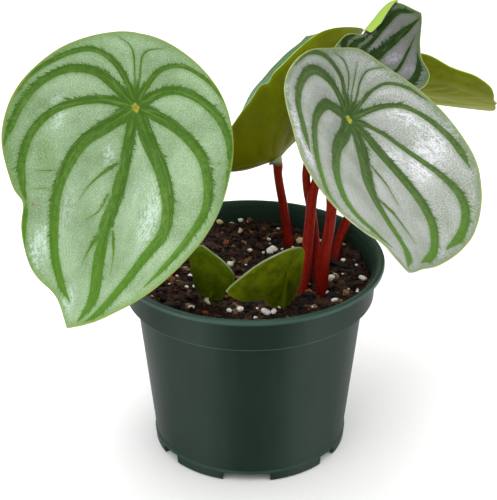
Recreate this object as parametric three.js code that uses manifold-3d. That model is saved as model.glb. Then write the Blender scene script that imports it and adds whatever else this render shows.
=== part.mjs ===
// Potted peperomia: a round nursery pot filled with soil, five grown leaves and three young ones.
// Millimetres, +Z up. The pot stands on z = 0; the origin is under the middle of the whole plant's box.

import * as THREE from 'three';
import { mergeVertices } from 'three/addons/utils/BufferGeometryUtils.js';
import Module from 'manifold-3d';

const wasm = await Module();
wasm.setup();
const { Manifold, Mesh: SolidMesh } = wasm;

// Where the pot's axis stands in this frame
const POT_X = -7.2;
const POT_Y = -2.2;

// Pot sizes
const SEGMENTS = 72;
const LIP_R = 54;
const LIP_INNER_R = 51.6;
const POT_H = 81.6;
const LIP_UNDER_Z = 79.4;
const BAND_TOP_R = 50.4;
const BAND_R = 50;
const BAND_Z = 66.8;
const BODY_TOP_R = 46.1;
const BASE_R = 39.6;
const FOOT_R = 39.1;
const FOOT_H = 4.2;
const WALL = 1.4;
const FLOOR_TOP_Z = FOOT_H + WALL;
const NOTCHES = 6;
const NOTCH_WIDE = 19;
const NOTCH_TURN = -92;
const DRAIN_RING_R = 27;
const DRAIN_R = 3.5;

// Soil and stem sizes
const GAP = 0.3;
const SOIL_Z = 74;
const SOIL_RINGS = 9;
const SOIL_SEGMENTS = 48;
const HOLE_DEEP = 12;
const STEM_SIDES = 10;

// Leaf sizes
const BLADE = 0.9;
const RIM_STEPS = 48;
const RINGS = [0.2, 0.4, 0.6, 0.78, 0.92, 1];

// The outline that all the leaves share: reach from the navel in mm at bearings from the tip in degrees
const SHARED_BEARINGS = [0, 9, 22, 42, 65, 90, 120, 150, 180];
const SHARED_REACH = [81, 75, 70.5, 57, 46.5, 38.5, 32.5, 29, 28];

// The bearings at which each leaf states its own reach: rear, right side, tip, left side
const OWN_BEARINGS = [-180, -135, -100, -70, -45, -22, 0, 22, 45, 70, 100, 135];

// Each leaf: its navel from the pot's axis, its turn (compass of the tip, rise of the tip, roll),
// its own reaches, its bends as millimetres of lift 40 mm out (bow, cup, twist, skew, nod, flare),
// and its dents in the edge (bearing, depth, half width in degrees)
const LEAVES = {
  left: {
    navel: [-42.6, -18.2, 152.2],
    turn: [-127, -76, -10],
    reach: [27.5, 30.5, 36.5, 45, 53.5, 71, 79.5, 67, 56, 43.5, 36, 30.5],
    bend: [5.5, 7.5, 9.5, -14, 1, -0.5],
    dents: [[-40, 3, 5], [-10, 2, 8]],
  },
  right: {
    navel: [37.8, -7.8, 143.8],
    turn: [-93, -27, -45],
    reach: [29.5, 26.5, 33.5, 46, 54.5, 75, 83.5, 69, 60, 47, 36.5, 32],
    bend: [11.5, 17, -1.5, 6, -2.5, -10.5],
    dents: [],
  },
  back_left: {
    navel: [10.6, 35.4, 109.8],
    turn: [56, 0, -41],
    reach: [30, 32.5, 36.5, 48, 59, 63, 58, 50, 42, 36, 29, 24],
    bend: [22.5, 24, 7, -6.5, -4.5, -18],
    dents: [[-117, 3.5, 6]],
  },
  top: {
    navel: [48.2, 34.3, 152.1],
    turn: [54, 7, 21],
    reach: [16.0, 18.5, 24.0, 24.5, 22.0, 24.0, 36.5, 32.0, 15.0, 16.0, 15.0, 15.5],
    bend: [6, 5, 1, 0.5, 3, 0],
    dents: [[31, 3, 9]],
  },
  back_right: {
    navel: [59.7, 74.4, 125.1],
    turn: [-7, -5, -41],
    reach: [14, 15, 22, 31.5, 34, 44, 47.5, 48.5, 37.5, 27, 20, 15],
    bend: [-0.5, 12, 2, -0.5, 0, -2],
    dents: [],
  },
  young_left: {
    navel: [-13.9, -28, 80.3],
    turn: [243, 82, -8],
    reach: [3.5, 5.5, 9.5, 11, 16, 21.5, 24.5, 19.5, 15, 6, 4.5, 4],
    bend: [-7.5, 15, -4.5, 3.5, -6.5, 2.5],
    dents: [],
  },
  young_centre: {
    navel: [13.7, -30, 91],
    turn: [217, -4, 76],
    reach: [7.5, 10, 16, 15, 12, 17, 27.5, 22.5, 18, 15.5, 14, 11],
    bend: [4, -10.5, -1.5, 1, 0, 0],
    dents: [],
  },
  young_hidden: {
    navel: [21.5, 15, 130],
    turn: [50, 50, 0],
    reach: [6, 6.5, 8, 9, 11, 15, 18, 15, 11, 9, 8, 6.5],
    bend: [4, 10, 0, 0, 0, 0],
    dents: [],
  },
};

// Each petiole: the points it passes above the soil, from the pot's axis, and its radius at foot and top
const STEMS = {
  left: { through: [[-24, -4, 74], [-32, -3, 108], [-37, -6, 138]], tail: 14, foot: 1.9, top: 1.6 },
  right: { through: [[27.9, -17.3, 74], [29.2, -15, 89.6], [31.4, -12, 110.1]], tail: 12, foot: 1.9, top: 1.6 },
  back_left: { through: [[16.5, 23.9, 74], [13.9, 28.6, 90.5]], tail: 2.5, foot: 1.9, top: 1.6 },
  top: { through: [[20, -18.1, 74], [22.4, -7, 85.5], [23.9, 3.1, 96], [26, 13, 106.4]], tail: 12, foot: 2, top: 1.4 },
  back_right: { through: [[34.6, 13.8, 74], [36.2, 18.7, 78], [39.8, 25.9, 83.8]], tail: 12, foot: 1.9, top: 1.4 },
  young_left: { through: [[-15.2, -31.4, 74]], tail: 2, foot: 1.3, top: 1, green: true },
  young_centre: { through: [[12.8, -33.6, 74], [13, -32.8, 84]], tail: 1.8, foot: 1.5, top: 1.2, green: true },
  young_hidden: { through: [[27, -8.9, 74], [25.4, -9, 86.3], [22.8, 6, 114.6]], tail: 5, foot: 1.8, top: 1.1 },
};

const radians = (degrees) => (degrees * Math.PI) / 180;

function paint(name, color, roughness, metalness = 0) {
  const material = new THREE.MeshStandardMaterial({ color, roughness, metalness });
  material.name = name;
  return material;
}

// Smooth curve through the points (x, y), read at q
function through(x, y, q) {
  let i = 0;
  while (i < x.length - 2 && q >= x[i + 1]) i += 1;
  const slope = (k) => {
    const a = Math.max(k - 1, 0);
    const b = Math.min(k + 1, x.length - 1);
    return (y[b] - y[a]) / (x[b] - x[a]);
  };
  const h = x[i + 1] - x[i];
  const s = (q - x[i]) / h;
  const s2 = s * s;
  const s3 = s2 * s;
  return (
    (2 * s3 - 3 * s2 + 1) * y[i] +
    (s3 - 2 * s2 + s) * h * slope(i) +
    (3 * s2 - 2 * s3) * y[i + 1] +
    (s3 - s2) * h * slope(i + 1)
  );
}

function wrap(degrees) {
  return ((((degrees + 180) % 360) + 360) % 360) - 180;
}

function sharedReach(bearing) {
  return through(SHARED_BEARINGS, SHARED_REACH, Math.abs(wrap(bearing)));
}

// Reach of one leaf's edge from its navel
function edgeReach(leaf, bearing) {
  const share = OWN_BEARINGS.map((b, i) => leaf.reach[i] / sharedReach(b));
  const x = [];
  const y = [];
  for (const round of [-360, 0, 360]) {
    OWN_BEARINGS.forEach((b, i) => {
      x.push(b + round);
      y.push(share[i]);
    });
  }
  let reach = sharedReach(bearing) * through(x, y, wrap(bearing));
  for (const [at, deep, half] of leaf.dents) {
    reach -= deep * Math.exp(-((wrap(bearing - at) / half) ** 2));
  }
  return reach;
}

// Tip direction, left-hand direction and upper normal of a leaf
function leafAxes([compass, rise, roll]) {
  const tip = new THREE.Vector3(
    Math.cos(radians(rise)) * Math.cos(radians(compass)),
    Math.cos(radians(rise)) * Math.sin(radians(compass)),
    Math.sin(radians(rise)),
  );
  const flat = new THREE.Vector3(0, 0, 1).cross(tip).normalize();
  const over = tip.clone().cross(flat);
  const left = flat.multiplyScalar(Math.cos(radians(roll))).addScaledVector(over, Math.sin(radians(roll)));
  return { tip, left, up: tip.clone().cross(left) };
}

// Point of the blade's middle surface, u mm towards the tip and v mm to the left of the navel
function bladePoint(leaf, axes, u, v) {
  const p = u / 40;
  const q = v / 40;
  const [bow, cup, twist, skew, nod, flare] = leaf.bend;
  const lift = bow * p * p + cup * q * q + twist * p * q + skew * q ** 3 + nod * p ** 3 + flare * p * q * q;
  return new THREE.Vector3(...leaf.navel)
    .addScaledVector(axes.tip, u)
    .addScaledVector(axes.left, v)
    .addScaledVector(axes.up, lift);
}

function bladeNormal(leaf, axes, u, v) {
  const step = 0.5;
  const along = bladePoint(leaf, axes, u + step, v).sub(bladePoint(leaf, axes, u - step, v));
  const across = bladePoint(leaf, axes, u, v + step).sub(bladePoint(leaf, axes, u, v - step));
  return along.cross(across).normalize();
}

// Closed blade of even thickness: the same triangles on both faces and one wall round the edge
function bladeGeometry(leaf, thickness) {
  const axes = leafAxes(leaf.turn);
  const upper = [];
  const lower = [];
  const add = (u, v) => {
    const middle = bladePoint(leaf, axes, u, v);
    const normal = bladeNormal(leaf, axes, u, v);
    upper.push(middle.clone().addScaledVector(normal, thickness / 2));
    lower.push(middle.clone().addScaledVector(normal, -thickness / 2));
  };
  add(0, 0);
  for (const ring of RINGS) {
    for (let i = 0; i < RIM_STEPS; i += 1) {
      const s = (2 * i) / RIM_STEPS - 1;
      const bearing = 180 * Math.sign(s) * Math.abs(s) ** 1.3;
      const reach = ring * edgeReach(leaf, bearing);
      add(reach * Math.cos(radians(bearing)), reach * Math.sin(radians(bearing)));
    }
  }
  const faces = [];
  const at = (ring, i) => 1 + ring * RIM_STEPS + (i % RIM_STEPS);
  for (let i = 0; i < RIM_STEPS; i += 1) {
    faces.push([0, at(0, i), at(0, i + 1)]);
    for (let ring = 0; ring < RINGS.length - 1; ring += 1) {
      faces.push([at(ring, i), at(ring + 1, i), at(ring + 1, i + 1)]);
      faces.push([at(ring, i), at(ring + 1, i + 1), at(ring, i + 1)]);
    }
  }
  const count = upper.length;
  const last = RINGS.length - 1;
  const index = [];
  for (const [a, b, c] of faces) {
    index.push(a, b, c);
    index.push(count + a, count + c, count + b);
  }
  for (let i = 0; i < RIM_STEPS; i += 1) {
    const a = at(last, i);
    const b = at(last, i + 1);
    index.push(a, count + a, count + b);
    index.push(a, count + b, b);
  }
  return solidGeometry([...upper, ...lower], index);
}

function solidGeometry(points, index) {
  const geometry = new THREE.BufferGeometry();
  geometry.setAttribute('position', new THREE.Float32BufferAttribute(points.flatMap((p) => [p.x, p.y, p.z]), 3));
  geometry.setIndex(index);
  return geometry;
}

// Round stem through the points, with a flat end at each
function stemGeometry(points, foot, top) {
  const curve = new THREE.CatmullRomCurve3(points, false, 'centripetal');
  const steps = Math.max(4, Math.round(curve.getLength() / 7));
  const rings = [];
  let side = new THREE.Vector3(1, 0, 0);
  for (let i = 0; i <= steps; i += 1) {
    const t = i / steps;
    const centre = curve.getPointAt(t);
    const along = curve.getTangentAt(t);
    side = side.clone().addScaledVector(along, -side.dot(along)).normalize();
    const other = along.clone().cross(side);
    const radius = foot + (top - foot) * t;
    for (let k = 0; k < STEM_SIDES; k += 1) {
      const turn = (2 * Math.PI * k) / STEM_SIDES;
      rings.push(
        centre.clone().addScaledVector(side, radius * Math.cos(turn)).addScaledVector(other, radius * Math.sin(turn)),
      );
    }
  }
  const index = [];
  const at = (ring, k) => ring * STEM_SIDES + (k % STEM_SIDES);
  for (let i = 0; i < steps; i += 1) {
    for (let k = 0; k < STEM_SIDES; k += 1) {
      index.push(at(i, k), at(i, k + 1), at(i + 1, k + 1));
      index.push(at(i, k), at(i + 1, k + 1), at(i + 1, k));
    }
  }
  for (let k = 1; k < STEM_SIDES - 1; k += 1) {
    index.push(at(0, 0), at(0, k + 1), at(0, k));
    index.push(at(steps, 0), at(steps, k), at(steps, k + 1));
  }
  return solidGeometry(rings, index);
}

// The petiole's whole path: up from its hole, through its points, and square onto the blade's underside
function stemPath(name, thickness) {
  const stem = STEMS[name];
  const leaf = LEAVES[name];
  const up = leafAxes(leaf.turn).up;
  const end = new THREE.Vector3(...leaf.navel).addScaledVector(up, -(thickness / 2 + GAP));
  const points = stem.through.map((p) => new THREE.Vector3(...p));
  const towards = (points[1] ?? end).clone().sub(points[0]).normalize();
  const foot = points[0].clone().addScaledVector(towards, -(HOLE_DEEP - 1.5));
  return [foot, ...points, end.clone().addScaledVector(up, -stem.tail), end];
}

// Closed mesh to solid: shared corners welded, and triangles that shrank to a line at a pole dropped
function toSolid(geometry) {
  geometry.deleteAttribute('uv');
  geometry.deleteAttribute('normal');
  const merged = mergeVertices(geometry, 1e-3);
  const kept = [];
  for (let i = 0; i < merged.index.count; i += 3) {
    const corners = [0, 1, 2].map((k) => merged.index.getX(i + k));
    if (new Set(corners).size === 3) kept.push(...corners);
  }
  return Manifold.ofMesh(
    new SolidMesh({
      numProp: 3,
      vertProperties: new Float32Array(merged.attributes.position.array),
      triVerts: new Uint32Array(kept),
    }),
  );
}

function fromSolid(solid) {
  const mesh = solid.getMesh();
  const geometry = new THREE.BufferGeometry();
  const positions = new Float32Array(mesh.numVert * 3);
  for (let i = 0; i < mesh.numVert; i += 1) {
    for (let k = 0; k < 3; k += 1) positions[3 * i + k] = mesh.vertProperties[mesh.numProp * i + k];
  }
  geometry.setAttribute('position', new THREE.BufferAttribute(positions, 3));
  geometry.setIndex([...mesh.triVerts]);
  return geometry;
}

// Solid of revolution about +Z from an anticlockwise outline of [radius, height]
function turned(outline) {
  const profile = outline.map(([r, z]) => new THREE.Vector2(r, z));
  return toSolid(new THREE.LatheGeometry(profile, SEGMENTS).rotateX(Math.PI / 2));
}

// Cutters for one notch in the foot and for the drain hole inside it
function notchCutter(turn) {
  const height = 2 * (FOOT_H - 0.4);
  return toSolid(new THREE.BoxGeometry(12, NOTCH_WIDE, height).translate(FOOT_R, 0, 0).rotateZ(turn));
}

function drainCutter(turn) {
  const bar = new THREE.CylinderGeometry(DRAIN_R, DRAIN_R, 8, 16).rotateX(Math.PI / 2);
  return toSolid(bar.translate(DRAIN_RING_R, 0, FOOT_H).rotateZ(turn));
}

function potSolid() {
  let shell = turned([
    [0, FOOT_H],
    [FOOT_R - WALL, FOOT_H],
    [FOOT_R - WALL, 0],
    [FOOT_R, 0],
    [BASE_R - 0.3, FOOT_H],
    [BASE_R, FOOT_H + 0.3],
    [BODY_TOP_R, BAND_Z],
    [BAND_R, BAND_Z],
    [BAND_TOP_R, LIP_UNDER_Z],
    [LIP_R - 0.4, LIP_UNDER_Z],
    [LIP_R, LIP_UNDER_Z + 0.4],
    [LIP_R, POT_H - 0.4],
    [LIP_R - 0.4, POT_H],
    [LIP_INNER_R, POT_H],
    [BAND_TOP_R - WALL, LIP_UNDER_Z - 1.2],
    [BAND_R - WALL, BAND_Z + WALL],
    [BODY_TOP_R - WALL, BAND_Z + WALL],
    [BASE_R - WALL, FLOOR_TOP_Z],
    [0, FLOOR_TOP_Z],
  ]);
  for (let i = 0; i < NOTCHES; i += 1) {
    const turn = radians(NOTCH_TURN + (360 * i) / NOTCHES);
    shell = shell.subtract(notchCutter(turn)).subtract(drainCutter(turn));
  }
  return shell;
}

// Lumpy height of the soil at a place, in mm above its mean level
function lump(x, y) {
  return (
    0.7 * Math.sin(0.31 * x + 1.1) * Math.cos(0.27 * y - 0.4) +
    0.45 * Math.sin(0.83 * x - 0.6 * y) +
    0.3 * Math.cos(1.31 * y + 0.7 * x + 2)
  );
}

function soilSolid() {
  const top = BAND_R - WALL - GAP;
  const wallPoints = [
    [BASE_R - WALL - GAP, FLOOR_TOP_Z + GAP],
    [BODY_TOP_R - WALL - GAP, BAND_Z + WALL + GAP],
    [BAND_R - WALL - GAP, BAND_Z + WALL + GAP],
  ];
  const points = [];
  for (const [r, z] of wallPoints) {
    for (let i = 0; i < SOIL_SEGMENTS; i += 1) {
      const turn = (2 * Math.PI * i) / SOIL_SEGMENTS;
      points.push(new THREE.Vector3(r * Math.cos(turn), r * Math.sin(turn), z));
    }
  }
  for (let ring = 0; ring < SOIL_RINGS; ring += 1) {
    const r = top * (1 - ring / SOIL_RINGS);
    for (let i = 0; i < SOIL_SEGMENTS; i += 1) {
      const turn = (2 * Math.PI * i) / SOIL_SEGMENTS;
      const x = r * Math.cos(turn);
      const y = r * Math.sin(turn);
      points.push(new THREE.Vector3(x, y, SOIL_Z + lump(x, y)));
    }
  }
  const rings = wallPoints.length + SOIL_RINGS;
  const crown = points.push(new THREE.Vector3(0, 0, SOIL_Z + lump(0, 0))) - 1;
  const floor = points.push(new THREE.Vector3(0, 0, FLOOR_TOP_Z + GAP)) - 1;
  const index = [];
  const at = (ring, i) => ring * SOIL_SEGMENTS + (i % SOIL_SEGMENTS);
  for (let i = 0; i < SOIL_SEGMENTS; i += 1) {
    for (let ring = 0; ring < rings - 1; ring += 1) {
      index.push(at(ring, i), at(ring, i + 1), at(ring + 1, i + 1));
      index.push(at(ring, i), at(ring + 1, i + 1), at(ring + 1, i));
    }
    index.push(at(rings - 1, i), at(rings - 1, i + 1), crown);
    index.push(floor, at(0, i + 1), at(0, i));
  }
  return toSolid(solidGeometry(points, index));
}

// Room for one stem in the soil
function stemHole(name, thickness) {
  const [foot, first] = stemPath(name, thickness);
  const along = first.clone().sub(foot).normalize();
  const start = foot.clone().addScaledVector(along, -1.5);
  const end = first.clone().addScaledVector(along, 8);
  const radius = STEMS[name].foot + GAP + 0.1;
  const geometry = new THREE.CylinderGeometry(radius, radius, start.distanceTo(end), 12);
  const turn = new THREE.Quaternion().setFromUnitVectors(new THREE.Vector3(0, 1, 0), along);
  geometry.applyQuaternion(turn);
  geometry.translate(...start.clone().add(end).multiplyScalar(0.5).toArray());
  return toSolid(geometry);
}

const MATERIALS = {
  pot: paint('green_plastic', 0x22352f, 0.42),
  soil: paint('potting_soil', 0x2d1c14, 0.95),
  blade: paint('silver_blade', 0x9db594, 0.55),
  young: paint('young_blade', 0x6d8a2c, 0.5),
  stem: paint('red_petiole', 0x7a1f1c, 0.45),
  young_stem: paint('green_petiole', 0x6f8a34, 0.5),
};

const group = new THREE.Group();
group.name = 'potted_peperomia';

function add(name, geometry, material) {
  geometry.translate(POT_X, POT_Y, 0);
  geometry.computeVertexNormals();
  const mesh = new THREE.Mesh(geometry, material);
  mesh.name = name;
  group.add(mesh);
}

const thicknessOf = (name) => (name.startsWith('young') ? 0.7 : BLADE);

let soil = soilSolid();
for (const name of Object.keys(STEMS)) {
  soil = soil.subtract(stemHole(name, thicknessOf(name)));
}

add('pot', fromSolid(potSolid()), MATERIALS.pot.clone());
add('soil', fromSolid(soil), MATERIALS.soil.clone());
for (const name of Object.keys(LEAVES)) {
  const young = name.startsWith('young');
  const { foot, top } = STEMS[name];
  const stemMaterial = (STEMS[name].green ? MATERIALS.young_stem : MATERIALS.stem).clone();
  add(`petiole_${name}`, stemGeometry(stemPath(name, thicknessOf(name)), foot, top), stemMaterial);
  add(`blade_${name}`, bladeGeometry(LEAVES[name], thicknessOf(name)), (young ? MATERIALS.young : MATERIALS.blade).clone());
}

export default group;
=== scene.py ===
# %% [markdown]
# # A potted peperomia
# This lesson dresses a small houseplant: silver leaves with dark green stripes on red stalks, young leaves
# at their feet, loose potting soil and a dark green nursery pot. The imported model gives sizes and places,
# so each new piece is built straight where the real one stands. It could all be sculpted freely, but then
# nothing would fit the model that the physics uses.

# %% Load the frame
import math
import random

import bpy
import numpy as np
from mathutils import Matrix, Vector, noise


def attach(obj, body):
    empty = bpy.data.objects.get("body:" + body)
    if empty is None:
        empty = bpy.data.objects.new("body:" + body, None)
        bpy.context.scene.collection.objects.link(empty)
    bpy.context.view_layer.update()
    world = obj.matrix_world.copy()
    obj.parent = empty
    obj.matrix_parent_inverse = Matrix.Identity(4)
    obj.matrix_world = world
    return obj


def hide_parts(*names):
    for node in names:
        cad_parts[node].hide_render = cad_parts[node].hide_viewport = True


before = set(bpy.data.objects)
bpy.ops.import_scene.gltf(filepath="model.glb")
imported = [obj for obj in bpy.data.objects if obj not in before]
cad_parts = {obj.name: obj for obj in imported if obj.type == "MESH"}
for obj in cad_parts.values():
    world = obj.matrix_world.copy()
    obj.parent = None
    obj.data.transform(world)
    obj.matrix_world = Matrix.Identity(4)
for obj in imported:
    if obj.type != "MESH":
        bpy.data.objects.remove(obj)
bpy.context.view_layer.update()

print("nodes in the frame:", len(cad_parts))

# %% [markdown]
# ## Small helpers
# Blender works in metres, and plants and pots are easier to think of in millimetres from the pot's axis.
# An operator acts on everything that is selected, so the helpers clear the selection first.

# %% Helpers
MM = 0.001
POT_X = -7.2
POT_Y = -2.2


def at(x, y, z):
    """From millimetres about the pot's axis to metres in the frame."""
    return ((x + POT_X) * MM, (y + POT_Y) * MM, z * MM)


def only(piece):
    """Selects one piece and nothing else."""
    if bpy.context.object and bpy.context.object.mode != "OBJECT":
        bpy.ops.object.mode_set(mode="OBJECT")
    bpy.ops.object.select_all(action="DESELECT")
    piece.select_set(True)
    bpy.context.view_layer.objects.active = piece


def clear():
    bpy.ops.object.select_all(action="DESELECT")


def newest(name):
    """Names the piece that an operator has just added."""
    piece = bpy.context.object
    piece.name = name
    piece.data.name = name
    return piece


def settle(piece):
    """Applies the modifiers, and the place too, so that the object sits at the origin."""
    only(piece)
    for modifier in list(piece.modifiers):
        bpy.ops.object.modifier_apply(modifier=modifier.name)
    bpy.ops.object.transform_apply(location=True, rotation=True, scale=True)


def shade(piece, degrees):
    only(piece)
    bpy.ops.object.shade_smooth_by_angle(angle=math.radians(degrees))


def belongs(piece, slot, *nodes):
    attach(piece, "root")
    if nodes:
        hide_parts(*nodes)


def corners(piece):
    """The piece's corner places in metres, as rows."""
    flat = np.empty(3 * len(piece.data.vertices))
    piece.data.vertices.foreach_get("co", flat)
    return flat.reshape(-1, 3)


def move_corners(piece, rows):
    piece.data.vertices.foreach_set("co", np.asarray(rows, dtype=float).ravel())
    piece.data.update()


def mark(piece, name, values):
    """Stores one number, or one vector, on each corner for the material to read."""
    values = np.asarray(values, dtype=float)
    kind = "FLOAT" if values.ndim == 1 else "FLOAT_VECTOR"
    layer = piece.data.attributes.new(name, kind, "POINT")
    layer.data.foreach_set("value" if values.ndim == 1 else "vector", values.ravel())


# %% [markdown]
# ## Nodes by the handful
# A material is a small network of nodes. Wiring each one by hand takes many lines, so a few helpers add a
# node, set its sockets and return the output that comes next. Colours are written as the eye sees them,
# in 0 to 255, and turned into the linear values that the renderer needs.

# %% Material helpers
def seen(red, green, blue):
    """A colour as seen on a screen, 0 to 255, in linear light."""
    out = []
    for c in (red / 255, green / 255, blue / 255):
        out.append(c / 12.92 if c <= 0.04045 else ((c + 0.055) / 1.055) ** 2.4)
    return (*out, 1.0)


class Finish:
    """A new material with its surface shader, and short ways to add nodes to it."""

    def __init__(self, name, roughness, specular=0.5):
        self.material = bpy.data.materials.new(name)
        self.material.use_nodes = True
        self.tree = self.material.node_tree
        self.surface = self.tree.nodes["Principled BSDF"]
        self.surface.inputs["Roughness"].default_value = roughness
        self.surface.inputs["Specular IOR Level"].default_value = specular
        self.place = self.tree.nodes.new("ShaderNodeTexCoord").outputs["Object"]

    def put(self, socket, value):
        if isinstance(value, bpy.types.NodeSocket):
            self.tree.links.new(value, socket)
        else:
            socket.default_value = value

    def attribute(self, name, output="Fac"):
        node = self.tree.nodes.new("ShaderNodeAttribute")
        node.attribute_name = name
        return node.outputs[output]

    def math(self, operation, a, b=0.0, c=0.0):
        node = self.tree.nodes.new("ShaderNodeMath")
        node.operation = operation
        for socket, value in zip(node.inputs, (a, b, c)):
            self.put(socket, value)
        return node.outputs[0]

    def ramp(self, value, low, high, to_low=0.0, to_high=1.0):
        """Smooth step from low to high."""
        node = self.tree.nodes.new("ShaderNodeMapRange")
        node.interpolation_type = "SMOOTHSTEP"
        for socket, number in zip(node.inputs, (value, low, high, to_low, to_high)):
            self.put(socket, number)
        return node.outputs[0]

    def stretch(self, vector, x, y, z):
        node = self.tree.nodes.new("ShaderNodeMapping")
        self.put(node.inputs["Vector"], vector)
        node.inputs["Scale"].default_value = (x, y, z)
        return node.outputs[0]

    def join(self, x, y, z=0.0):
        node = self.tree.nodes.new("ShaderNodeCombineXYZ")
        for socket, value in zip(node.inputs, (x, y, z)):
            self.put(socket, value)
        return node.outputs[0]

    def grain(self, vector, scale, detail=3.0, roughness=0.55):
        node = self.tree.nodes.new("ShaderNodeTexNoise")
        self.put(node.inputs["Vector"], vector)
        node.inputs["Scale"].default_value = scale
        node.inputs["Detail"].default_value = detail
        node.inputs["Roughness"].default_value = roughness
        return node.outputs[0]

    def cells(self, vector, scale, feature="F1"):
        node = self.tree.nodes.new("ShaderNodeTexVoronoi")
        node.feature = feature
        self.put(node.inputs["Vector"], vector)
        node.inputs["Scale"].default_value = scale
        return node.outputs["Distance"]

    def mix(self, share, a, b, blend="MIX"):
        node = self.tree.nodes.new("ShaderNodeMix")
        node.data_type = "RGBA"
        node.blend_type = blend
        self.put(node.inputs[0], share)
        self.put(node.inputs[6], a)
        self.put(node.inputs[7], b)
        return node.outputs[2]

    def coats(self, face, *rows):
        """Lays colours over a face, one by one: (colour, value, low, high, share at low, share at high)."""
        for colour, value, *steps in rows:
            face = self.mix(self.ramp(value, *steps), face, colour)
        return face

    def plus(self, a, b, times=1.0):
        """a and b times a number."""
        return self.math("ADD", a, self.math("MULTIPLY", b, times))

    def level(self):
        """Height over the floor, in metres."""
        node = self.tree.nodes.new("ShaderNodeSeparateXYZ")
        self.put(node.inputs[0], self.place)
        return node.outputs["Z"]

    def colour(self, value):
        self.put(self.surface.inputs["Base Color"], value)

    def rough(self, value):
        self.put(self.surface.inputs["Roughness"], value)

    def relief(self, height, depth_mm, strength=1.0):
        node = self.tree.nodes.new("ShaderNodeBump")
        node.inputs["Strength"].default_value = strength
        node.inputs["Distance"].default_value = depth_mm * MM
        self.put(node.inputs["Height"], height)
        self.put(self.surface.inputs["Normal"], node.outputs[0])


# %% [markdown]
# ## Floor, light and camera
# The plant was photographed on a white sweep, under big soft lights, from a little above. A long lens from
# about 0.6 m keeps the pot's lip a narrow oval. The pale room light and a soft lamp overhead do most of the
# work, a key lamp at the upper left gives the leaves their shine, and a weaker one fills the right side.
# Two strip lamps below the floor's level light the pot and nothing else. They give the plastic its two soft
# upright bands without touching the leaves.

# %% Floor, light and camera
bpy.context.scene.view_settings.view_transform = "Standard"
EYE = (-0.6, -535.5, 354.8)
LOOK_DOWN = 26.8
LENS = 108.0
FLOOR_WIDE = 6.0
FLOOR_GAP = 0.0002

clear()
bpy.ops.mesh.primitive_plane_add(size=FLOOR_WIDE, location=(0, 0, -FLOOR_GAP))
floor = newest("floor")
paper = Finish("white_paper", 0.9, 0.05)
paper.colour(paper.mix(paper.grain(paper.place, 3.0), seen(250, 250, 250), seen(253, 253, 253)))
floor.data.materials.append(paper.material)


def room_light(front, high):
    """A room that is dim at eye level and bright overhead."""
    world = bpy.context.scene.world or bpy.data.worlds.new("room")
    bpy.context.scene.world = world
    world.use_nodes = True
    tree = world.node_tree
    direction = tree.nodes.new("ShaderNodeTexCoord").outputs["Generated"]
    parts = tree.nodes.new("ShaderNodeSeparateXYZ")
    tree.links.new(direction, parts.inputs[0])
    strength = tree.nodes.new("ShaderNodeMapRange")
    tree.links.new(parts.outputs["Z"], strength.inputs["Value"])
    for socket, value in (("From Min", 0.05), ("From Max", 0.8), ("To Min", front), ("To Max", high)):
        strength.inputs[socket].default_value = value
    tree.links.new(strength.outputs[0], tree.nodes["Background"].inputs["Strength"])
    tree.nodes["Background"].inputs["Color"].default_value = (1.0, 1.0, 1.0, 1.0)


def lamp(name, place, wide, tall, watts, target=(0, 0, 0.1)):
    """A soft box that faces the plant. Places and sizes are in metres."""
    bpy.ops.object.light_add(type="AREA", location=place)
    light = bpy.context.object
    light.name = name
    light.data.shape = "RECTANGLE"
    light.data.size = wide
    light.data.size_y = tall
    light.data.energy = watts
    aim = Vector(target) - Vector(place)
    light.rotation_euler = aim.to_track_quat("-Z", "Y").to_euler()
    return light


room_light(0.22, 1.5)
lamp("key", (-0.5, -0.7, 1.0), 0.9, 0.9, 2.8)
lamp("fill", (0.8, -0.5, 0.9), 0.7, 0.7, 1.8)
lamp("overhead", (0.0, 0.2, 1.1), 0.7, 0.7, 4.0)
STRIPS = [
    lamp("left_strip", (-0.288, -0.221, -0.142), 0.2, 0.3, 2.8, (0, 0, 0.04)),
    lamp("right_strip", (0.313, -0.158, -0.142), 0.16, 0.3, 2.2, (0, 0, 0.04)),
]

bpy.ops.object.camera_add(location=at(*EYE), rotation=(math.radians(90 - LOOK_DOWN), 0, 0))
camera = bpy.context.object
camera.name = "camera"
camera.data.lens = LENS
camera.data.sensor_width = 36.0
camera.data.clip_start = 0.01
bpy.context.scene.camera = camera
print("camera at", [round(value, 4) for value in camera.location])

# %% [markdown]
# ## The pot
# A nursery pot is one thin shell of injection-moulded plastic: a tapered body, a straight band under the lip
# for stiffness, a rolled lip, and a foot with notches that let water run off. A lathe makes such a shell, so
# one half of its section is drawn corner by corner and spun about the axis. The notches and the drain holes
# are then cut with a boolean, as the mould's own cores do it.

# %% Draw the section and spin it
# Radius and height in mm, from the middle of the bottom's underside round the lip to the middle of its top.
POT_SECTION = [
    (0, 4.2), (37.7, 4.2), (37.7, 0.25), (37.95, 0), (39.2, 0), (39.6, 0.3), (39.95, 4.1), (39.5, 4.6),
    (46.0, 66.3), (46.6, 66.8), (49.6, 66.8), (50.0, 67.2), (50.4, 79.0), (50.9, 79.4), (53.4, 79.4),
    (53.85, 79.65), (54.0, 80.2), (54.0, 80.9), (53.75, 81.4), (53.2, 81.6), (52.1, 81.6), (51.5, 81.35),
    (49.2, 78.4), (48.7, 77.6), (48.6, 68.2), (44.7, 68.2), (38.2, 5.6), (0, 5.6),
]
clear()
bottom_r, bottom_z = POT_SECTION[0]
bpy.ops.mesh.primitive_plane_add(size=2 * MM, location=at(bottom_r, 0, bottom_z))
pot = newest("nursery_pot")
bpy.ops.object.mode_set(mode="EDIT")
bpy.ops.mesh.select_all(action="SELECT")
bpy.ops.mesh.merge(type="CENTER")
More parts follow.
